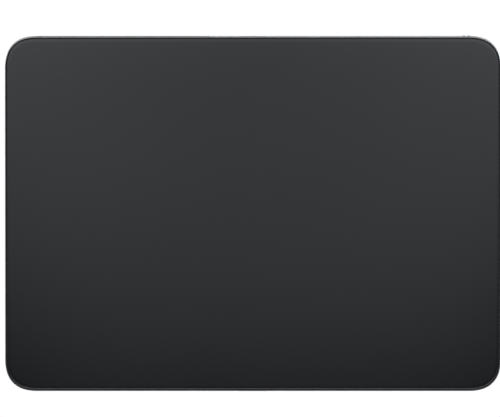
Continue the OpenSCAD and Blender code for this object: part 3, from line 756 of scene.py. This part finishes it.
def back_wall():
    s = Shell()
    rows = []
    for inset, y in ((0.09, Y_OUT), (0.03, Y_OUT - 0.03), (0.0, Y_OUT - 0.09), (0.0, Y_IN - 0.06)):
        rows.append((55.7 - 2 * inset, 3.5 - 2 * inset, 0.95 - inset, y))
    for inset, y in ((0.08, Y_IN - 0.05), (0.0, Y_IN - 0.12), (0.0, Y_IN - 0.57), (0.08, Y_IN - 0.65)):
        rows.append((57.4 - 2 * inset, 5.0 - 2 * inset, 1.2 - inset, y))
    s.loft([[(x, y, z) for x, z in rrect(w, h, r, 8, (WIN_X, WIN_Z))] for w, h, r, y in rows])
    piece("window_insert", s.mesh("window_insert"), LOOK["window_plastic"], "case", "antenna_window")

    s = Shell()
    y0, y1 = 49.8, Y_OUT - 0.3
    rows = [(0.10, y0), (0.0, y0 + 0.10), (0.0, y1 - 0.15)]
    for k in range(1, 9):
        t = k / 8 * math.pi
        rows.append((0.15 - 0.15 * math.cos(t), y1 - 0.15 + 0.15 * math.sin(t)))
    rows += [(0.30, 50.2), (0.40, 50.1)]
    s.loft([[(x, y, z) for x, z in reversed(stadium(8.94 - 2 * i, 3.26 - 2 * i, 18, (0, PORT_Z)))] for i, y in rows])
    piece("port_sleeve", tidy(s.mesh("port_sleeve"), 1e-7), LOOK["tin_plate"], "case", "port_shell")

    def lump(loop, y0, y1, edge, steps=3):
        s = Shell()
        s.prism([list(loop)], -y1, -y0, edge, steps, lambda p: (p[0], -p[2], p[1]))
        return s.mesh("lump")

    base = lump(rrect(6.8, 2.6, 0.12, 4, (KNOB_X, SW_Z)), 54.6, 55.1, 0.06)
    parts = [lump(rrect(2.3, 1.7, 0.3, 8, (KNOB_X, SW_Z)), 54.95, 57.2, 0.12)]
    for sx in (-1, 1):
        parts.append(lump(rrect(0.5, 1.5, 0.1, 6, (KNOB_X + sx * 0.73, SW_Z)), 56.9, 57.7, 0.08, 4))
        parts.append(lump(rrect(0.5, 1.2, 0.06, 3, (KNOB_X + sx, SW_Z)), 53.6, 54.7, 0.05, 2))
    me = tidy(joined(base, parts, "UNION"))
    piece("slide_knob", me, LOOK["knob_plastic"], "power_slider", "switch_knob", 35.0)


# ------------------------------------------------------------------ suspension: these are built with rows of points

CORNERS = (("front_left", -1, -1), ("front_right", 1, -1), ("rear_left", -1, 1), ("rear_right", 1, 1))


def mirrored(loop):
    return [(-x, y) for x, y in reversed(loop)]


def rounded(pts, r, n=4):
    """A polygon, counter-clockwise, with its corners rounded by r."""
    out, m = [], len(pts)
    for k in range(m):
        p, q, s = Vector(pts[k - 1]), Vector(pts[k]), Vector(pts[(k + 1) % m])
        a, b = q + (p - q).normalized() * r, q + (s - q).normalized() * r
        for j in range(n + 1):
            t = j / n
            out.append(tuple((1 - t) ** 2 * a + 2 * t * (1 - t) * q + t * t * b))
    return out


def suspension():
    for name, sx, sv in CORNERS:
        def place(p, sx=sx, sv=sv):
            return tilted((sx * p[0], sv * BEAM_V + sx * p[1], p[2]))

        arm = [(41, -4.5), (52, -4.5), (52, -3), (60, -3), (60, -4.5), (71.5, -4.5), (71.5, 4.5), (60, 4.5), (60, 3), (52, 3), (52, 4.5), (41, 4.5)]
        arm = rounded(arm, 0.45)
        hole = list(reversed(circle(0.9, 24, (BEAM_X, 0))))
        grid = [(50.5 + 0.5 * i, -2.4 + 1.2 * j) for i in range(23) for j in range(5)]
        s = Shell()
        s.prism([arm, hole], W_BEAM, W_PAD, 0.05, 2, place, grid)
        foot = rounded([(61.5, -4.5), (71.5, -4.5), (71.5, 4.5), (61.5, 4.5)], 0.45)
        s.prism([foot, list(hole)], W_END, W_BEAM - 0.002, 0.05, 2, place)
        me = s.mesh("beam_" + name)
        o = piece("beam_" + name, me, LOOK["spring_steel"], None, "force_beams", 40.0)
        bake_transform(o)

        # strain gauge: a foil under the waist with a tail that turns up to the sensor board
        def side(p, sx=sx, sv=sv):
            return tilted((sx * p[0], sv * p[1], p[2]))

        s = Shell()
        t = 0.12
        path = [(44.5, W_BEAM - t / 2), (41.5, W_BEAM - t / 2), (39.2, W_BEAM - t / 2), (38.85, W_BEAM - t / 2 + 0.02), (38.69, W_BEAM + 0.10), (38.675, W_BEAM + 0.45), (38.675, W_BEAM + 0.85), (38.675, W_SENSOR - 0.01)]
        rings = []
        for k, (v, w) in enumerate(path):
            a, b = path[max(k - 1, 0)], path[min(k + 1, len(path) - 1)]
            d = Vector((b[0] - a[0], b[1] - a[1])).normalized()
            q = Vector((-d.y, d.x)) * t / 2
            n = 10
            top = [(54 + 4 * j / n, v + q.x, w + q.y) for j in range(n + 1)]
            low = [(58 - 4 * j / n, v - q.x, w - q.y) for j in range(n + 1)]
            rings.append([side(p) for p in top + low])
        if sx * sv > 0:
            rings = [list(reversed(r)) for r in rings]
        s.loft(rings)
        me = tidy(s.mesh("gauge_" + name))
        o = piece("gauge_" + name, me, LOOK["copper_flex"], None, "force_gauges", 40.0)
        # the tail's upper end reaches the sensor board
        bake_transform(o)

        # gel pad: a soft disc with a slightly hollow side
        s = Shell()
        prof, n = [], 8
        for k in range(n + 1):
            t = k / n
            prof.append((4.0 - 0.10 * math.sin(math.pi * t), W_PAD + 0.4 * t))
        rings = [[tilted((sx * PAD_X + r * math.cos(a), sv * BEAM_V + r * math.sin(a), w)) for a in (2 * math.pi * j / 64 for j in range(64))] for r, w in prof]
        s.loft(rings)
        o = piece("gel_" + name, s.mesh("gel_" + name), LOOK["gel"], None, "gel_pads", 50.0)
        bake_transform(o)


def sensor_ribbon():
    """The flat cable between the sensor board and the main board."""
    t = 0.15
    fs = tilted((0, 35.6, W_PLATE - 0.4 - t / 2))[1:]
    fe = (42.2, MB_Z1 + 0.8 + t / 2)
    line = [tilted((0, v, W_PLATE - 0.4 - t / 2))[1:] for v in (32.6, 33.6, 34.6)]
    ta, tb, n = (9 * CS, 9 * SN), (9.0, 0.0), 28
    for i in range(n + 1):
        s = i / n
        h = (2 * s**3 - 3 * s**2 + 1, s**3 - 2 * s**2 + s, -2 * s**3 + 3 * s**2, s**3 - s**2)
        line.append(tuple(h[0] * fs[c] + h[1] * ta[c] + h[2] * fe[c] + h[3] * tb[c] for c in (0, 1)))
    line += [(43.7, fe[1]), (45.2, fe[1])]
    s = Shell()
    rings, m = [], 20
    for k, (y, z) in enumerate(line):
        a, b = line[max(k - 1, 0)], line[min(k + 1, len(line) - 1)]
        d = Vector((b[0] - a[0], b[1] - a[1])).normalized()
        q = Vector((-d.y, d.x)) * t / 2
        top = [(34 + 10 * j / m, y + q.x, z + q.y) for j in range(m + 1)]
        low = [(44 - 10 * j / m, y - q.x, z - q.y) for j in range(m + 1)]
        rings.append(top + low)
    s.loft([list(reversed(r)) for r in rings])
    o = piece("sensor_ribbon", tidy(s.mesh("sensor_ribbon")), LOOK["copper_flex"], None, "sensor_flex", 40.0)
    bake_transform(o)


# ------------------------------------------------------------------ cells, core and coils

def other_side(me):
    """The mesh mirrored to the other side, as a copy."""
    out = me.copy()
    out.transform(Matrix.Scale(-1.0, 4, (1, 0, 0)))
    out.flip_normals()
    return out


def cells():
    z0, z1 = ZF + 0.15, ZF + 2.35
    # pouch: a soft lower edge and a crowned top
    prof = [(0.75, z0), (0.35, z0 + 0.04), (0.12, z0 + 0.14), (0.0, z0 + 0.36), (0.0, z1 - 0.80), (0.06, z1 - 0.58), (0.25, z1 - 0.36), (0.6, z1 - 0.21),
            (1.2, z1 - 0.13), (2.4, z1 - 0.08), (5.0, z1 - 0.04), (10.0, z1 - 0.012), (16.0, z1)]
    s = Shell()
    s.loft([[(x, y, z) for x, y in rrect(45.3 - 2 * i, 65.9 - 2 * i, max(0.8, 2.0 - 0.35 * i), 6, (39, 5))] for i, z in prof])
    body = s.mesh("pouch")
    parts = []
    # side seams, folded up against the pouch
    for x0, x1 in ((16.0, 16.5), (61.5, 62.0)):
        s = Shell()
        s.prism([rrect(62.4, 1.3, 0.25, 4, (5, z0 + 1.0))], x0, x1, 0.08, 2, lambda p: (p[2], p[0], p[1]))
        parts.append(s.mesh("seam"))
    # sealed end with the tabs under it
    s = Shell()
    s.prism([rrect(34, 2.5, 0.4, 4, (43, 38.95))], 2.2, 2.4, 0.05, 2)
    parts.append(s.mesh("seal"))
    me = tidy(joined(body, parts, "UNION"))
    mirror = other_side(me)
    piece("cell_right", me, LOOK["cell_foil"], "case", "battery_right", 38.0)
    piece("cell_left", mirror, LOOK["cell_foil"], "case", "battery_left", 38.0)


def actuator():
    # the core is a stack of punched sheets
    half = [(7.2, -12), (7.2, -7), (1.3, -7), (1.3, 4), (7.2, 4), (7.2, 12), (1.3, 12), (1.3, 23), (7.2, 23), (7.2, 28)]
    sheet = half + [(-x, y) for x, y in reversed(half)]
    holes = [list(reversed(circle(0.9, 24, (0, y)))) for y in (-9.5, 25.5)]
    s, n = Shell(), 6
    for k in range(n):
        z0, z1 = 2.6 + 2.2 * k / n, 2.6 + 2.2 * (k + 1) / n
        s.prism([sheet, *holes], z0 + (0.006 if k else 0.0), z1 - (0.006 if k < n - 1 else 0.0), 0.035, 2)
    piece("core_stack", s.mesh("core_stack"), LOOK["core_steel"], "case", "haptic_core", 35.0)

    # each coil is wound turn beside turn round its bobbin
    x0, x1, turns, m = 2.2, 6.4, 14, 6
    outer = []
    for k in range(turns * m + 1):
        dip = 0.10 * (1 - math.sqrt(max(0.0, 1 - (2 * (k / m % 1.0) - 1) ** 2)))
        outer.append((x0 + (x1 - x0) * k / (turns * m), 11.6 - 2 * dip, 3.8 - 2 * dip, 1.1 - dip))
    inner = [(x1, 8.7, 2.9, 0.35), (x0, 8.7, 2.9, 0.35)]
    s = Shell()
    ids = s.loft([[(x, y, z) for y, z in rrect(w, h, r, 6, (8.0, 3.7))] for x, w, h, r in outer + inner], False, False)
    s.bridge(ids[-1], ids[0])
    me = tidy(s.mesh("coil"), 1e-8)
    mirror = other_side(me)
    piece("coil_right", me, LOOK["copper_wire"], "case", "haptic_coils", 60.0)
    piece("coil_left", mirror, LOOK["copper_wire"], "case", "haptic_coils", 60.0)


# ------------------------------------------------------------------ inner nodes that stay as CAD

CARRIED = {
    "foot_adhesive": ("adhesive", 0.0), "antenna_strip": ("copper_flex", 0.0), "antenna_cable": ("coax_jacket", 0.0),
    "beam_screws_front": ("screw_steel", 0.08), "beam_screws_rear": ("screw_steel", 0.08),
    "glass_adhesive": ("adhesive", 0.0), "sensor_board": ("board_laminate", 0.0), "sensor_chips": ("chip_epoxy", 0.06),
    "sensor_connector": ("connector_plastic", 0.1), "platform_plate": ("plate_steel", 0.05), "attraction_rails": ("rail_steel", 0.06),
    "haptic_bracket": ("plate_steel", 0.05), "core_rivets": ("screw_steel", 0.06),
    "coil_bobbins": ("bobbin_plastic", 0.06), "haptic_screws": ("screw_steel", 0.06),
    "haptic_flex": ("copper_flex", 0.0), "main_board": ("board_laminate", 0.04), "main_board_chips": ("chip_epoxy", 0.06),
    "radio_shield": ("tin_plate", 0.08), "board_connectors": ("connector_plastic", 0.06), "board_screws": ("screw_steel", 0.06),
    "port_tongue": ("port_plastic", 0.06), "port_contacts": ("gold_contact", 0.015), "port_bracket": ("tin_plate", 0.06),
    "port_screws": ("screw_steel", 0.06), "switch_lever": ("bobbin_plastic", 0.06), "switch_can": ("tin_plate", 0.06),
    "switch_board": ("board_laminate", 0.04), "switch_screws": ("screw_steel", 0.06), "switch_flex": ("copper_flex", 0.0),
    "battery_tape": ("tape", 0.0),
    "battery_board": ("board_laminate", 0.04), "battery_chips": ("chip_epoxy", 0.05), "battery_link": ("copper_flex", 0.0), "battery_lead": ("copper_flex", 0.0),
}


def carried():
    for name, (look, width) in CARRIED.items():
        o = NODES[name]
        o.data.materials.clear()
        o.data.materials.append(LOOK[look])
        m = o.modifiers.new("weld", "WELD")
        m.merge_threshold = 1e-7
        m = o.modifiers.new("flat", "DECIMATE")
        m.decimate_type, m.angle_limit = "DISSOLVE", math.radians(1.0)
        if width:
            m = o.modifiers.new("bevel", "BEVEL")
            m.width, m.segments, m.limit_method, m.angle_limit = width * MM, 2, "ANGLE", math.radians(40)
            m.use_clamp_overlap = True
        m = o.modifiers.new("normals", "WEIGHTED_NORMAL")
        m.weight, m.keep_sharp = 60, True


glass()
tray()
feet()
back_wall()
suspension()
sensor_ribbon()
cells()
actuator()
carried()

# ------------------------------------------------------------------ studio

TINT, ROOM, HORIZON = (0.974, 1.0, 1.053), 0.09, 0.55
CARD = ((0.768, 0.234, -0.212), (0.233, 0.191, 0.069), (-0.218, 0.041))
BAR, FADE = 0.623, 0.06


def plain(name, color, emit=0.0):
    k = Look(name, color, 0.9)
    if emit:
        k.set("Emission Color", (1.0, 1.0, 1.0, 1.0))
        k.set("Emission Strength", emit)
    return k.m


def ground(name, z, mat, size=40.0):
    s = Shell()
    d = size * 500
    s.f.append(tuple(s.ring([(-d, -d, z), (d, -d, z), (d, d, z), (-d, d, z)])))
    o = new_object(name, s.mesh(name))
    o.data.materials.append(mat)
    return o


def studio():
    # the pale floor the camera sees, with a painted shadow under the object where its glow drops, and the greyer one
    # that the object sees, with a dark mat close round the object as painted shade
    k = Look("floor_pale_painted_shadow", (0.0, 0.0, 0.0), 1.0)
    k.set("Specular IOR Level", 0.0)
    k.set("Emission Color", (1.0, 1.0, 1.0, 1.0))
    mm = k.parts()
    painted_shadow_dist = [k.math("MAXIMUM", k.math("SUBTRACT", k.math("ABSOLUTE", mm[i], 0.0), half - 9.0), 0.0) for i, half in ((0, A0), (1, B0))]
    painted_shadow_dist = k.math("SQRT", k.math("ADD", k.math("MULTIPLY", painted_shadow_dist[0], painted_shadow_dist[0]), k.math("MULTIPLY", painted_shadow_dist[1], painted_shadow_dist[1])), 0.0)
    # painted shadow: the floor's glow falls from 1.02 to 0.38 between 0.3 mm and 4 mm inside the object's outline
    k.link(k.span(painted_shadow_dist, 0.38, 1.02, (9.0 - 4.0, 9.0 - 0.3), "SMOOTHSTEP"), k.b.inputs["Emission Strength"])
    seen = ground("floor", -0.02, k.m)
    seen.visible_diffuse = seen.visible_glossy = seen.visible_transmission = seen.visible_shadow = False
    low = ground("floor_bounce", -0.04, plain("floor_grey", (0.72, 0.72, 0.72), 0.45))
    # painted shade: a dark mat round the object, seen only by the object, stands in for the shade on the floor near it
    s = Shell()
    s.f.append(tuple(s.ring([(x, y - 1.5, -0.03) for x, y in outline(A0 + 6, B0 + 5)])))
    mat = new_object("floor_painted_shade_mat", s.mesh("floor_painted_shade_mat"))
    mat.data.materials.append(plain("floor_painted_shade", (0.20, 0.20, 0.20)))
    for o in (low, mat):
        o.visible_camera = o.visible_shadow = False

    w = bpy.data.worlds.new("studio")
    SCENE.world = w
    w.use_nodes = True
    t = w.node_tree
    t.nodes.clear()
    out = t.nodes.new("ShaderNodeOutputWorld")
    path = t.nodes.new("ShaderNodeLightPath")
    room, white, mix = t.nodes.new("ShaderNodeBackground"), t.nodes.new("ShaderNodeBackground"), t.nodes.new("ShaderNodeMixShader")
    room.inputs["Color"].default_value = (*TINT, 1.0)
    # the backdrop glows near the horizon, and the room above it is dim
    way, parts, glow = t.nodes.new("ShaderNodeTexCoord"), t.nodes.new("ShaderNodeSeparateXYZ"), t.nodes.new("ShaderNodeMapRange")
    glow.interpolation_type = "SMOOTHSTEP"
    for key, v in (("From Min", 0.04), ("From Max", 0.26), ("To Min", HORIZON), ("To Max", ROOM)):
        glow.inputs[key].default_value = v
    t.links.new(way.outputs["Generated"], parts.inputs[0])
    t.links.new(parts.outputs["Z"], glow.inputs["Value"])
    # and glows most behind the object
    side, level = t.nodes.new("ShaderNodeMapRange"), t.nodes.new("ShaderNodeMath")
    for key, v in (("From Min", 0.0), ("From Max", 0.8), ("To Min", 0.7), ("To Max", 1.0)):
        side.inputs[key].default_value = v
    level.operation = "MULTIPLY"
    t.links.new(parts.outputs["Y"], side.inputs["Value"])
    t.links.new(glow.outputs[0], level.inputs[0])
    t.links.new(side.outputs[0], level.inputs[1])
    t.links.new(level.outputs[0], room.inputs["Strength"])
    white.inputs["Color"].default_value = (1.0, 1.0, 1.0, 1.0)
    white.inputs["Strength"].default_value = 1.02
    t.links.new(path.outputs["Is Camera Ray"], mix.inputs[0])
    t.links.new(room.outputs[0], mix.inputs[1])
    t.links.new(white.outputs[0], mix.inputs[2])
    t.links.new(mix.outputs[0], out.inputs[0])

    def softbox(name, at, aim, size, radiance, glossy=True):
        d = bpy.data.lights.new(name, "AREA")
        d.shape, d.size, d.size_y = "RECTANGLE", size[0], size[1]
        d.energy = radiance * math.pi * size[0] * size[1]
        d.color = TINT
        o = bpy.data.objects.new(name, d)
        SCENE.collection.objects.link(o)
        o.location = at
        o.rotation_euler = (Vector(aim) - Vector(at)).to_track_quat("-Z", "Y").to_euler()
        o.visible_camera = False
        o.visible_glossy = glossy
        return o

    softbox("box_back", (0.0, 0.67, 0.96), (0.0, 0.0, 0.0), (1.5, 0.5), 1.5)
    softbox("box_front", (0.0, -0.93, 0.98), (0.0, 0.0, 0.0), (1.5, 0.20), 4.0)
    for side in (-1, 1):
        softbox("box_corner", (side * 0.78, -0.52, 0.98), (0.0, 0.0, 0.0), (0.75, 0.20), 1.8)
    softbox("box_fill", (0.0, 0.0, 1.6), (0.0, 0.0, 0.0), (1.6, 1.6), 0.8, False)

    # overhead reflector: a card with a soft gradient, brighter to the back and its corners
    k = Look("card", (0.0, 0.0, 0.0), 1.0)
    k.set("Specular IOR Level", 0.0)
    sep = k.t.nodes.new("ShaderNodeSeparateXYZ")
    k.link(k.coord, sep.inputs[0])
    x = k.math("MULTIPLY", sep.outputs[0], 1 / 0.080)
    y = k.math("MINIMUM", k.math("DIVIDE", k.math("ADD", sep.outputs[1], 0.019), 0.057), 1.45)
    x2 = k.math("MINIMUM", k.math("MULTIPLY", x, x), 1.3)

    def poly(v, c):
        acc = c[-1]
        for a in reversed(c[:-1]):
            acc = k.math("ADD", k.math("MULTIPLY", acc, v) if not isinstance(acc, float) else k.math("MULTIPLY", v, acc), a)
        return acc

    value = k.math("ADD", poly(y, CARD[0]), k.math("MULTIPLY", x2, k.math("ADD", poly(y, CARD[1]), k.math("MULTIPLY", x2, poly(y, CARD[2])))))
    value = k.math("ADD", value, k.span(sep.outputs[1], 0.0, BAR, (0.034, 0.055), "SMOOTHSTEP"))
    value = k.math("SUBTRACT", value, k.span(sep.outputs[1], FADE, 0.0, (-0.080, -0.070), "SMOOTHSTEP"))
    k.link(k.math("MAXIMUM", value, 0.0), k.b.inputs["Emission Strength"])
    k.set("Emission Color", (*TINT, 1.0))
    s = Shell()
    s.f.append(tuple(s.ring([(-185, -105, 128), (-185, 122, 128), (185, 122, 128), (185, -105, 128)])))
    card = new_object("card", s.mesh("card"))
    card.data.materials.append(k.m)
    card.visible_camera = card.visible_diffuse = card.visible_shadow = card.visible_transmission = False


def camera():
    d = bpy.data.cameras.new("camera")
    o = bpy.data.objects.new("camera", d)
    SCENE.collection.objects.link(o)
    SCENE.camera = o
    d.type, d.lens, d.sensor_fit, d.sensor_width = "PERSP", 1400.0, "HORIZONTAL", 36.0
    t = math.radians(3.0)
    px_per_mm = 3.0995
    far = 500 / px_per_mm * d.lens / d.sensor_width
    # where the picture's middle falls on the object
    x, v, z = -2.95 / px_per_mm, 1.488, 6.5
    y = (v + z * math.sin(t)) / math.cos(t)
    o.location = (x * MM, (y + far * math.sin(t)) * MM, (z + far * math.cos(t)) * MM)
    o.rotation_euler = (-t, 0.0, 0.0)
    d.clip_start, d.clip_end = 0.1, 60.0


studio()
camera()
SCENE.view_settings.view_transform = "Standard"
SCENE.view_settings.look = "None"
SCENE.view_settings.exposure = 0.0
SCENE.view_settings.gamma = 1.0
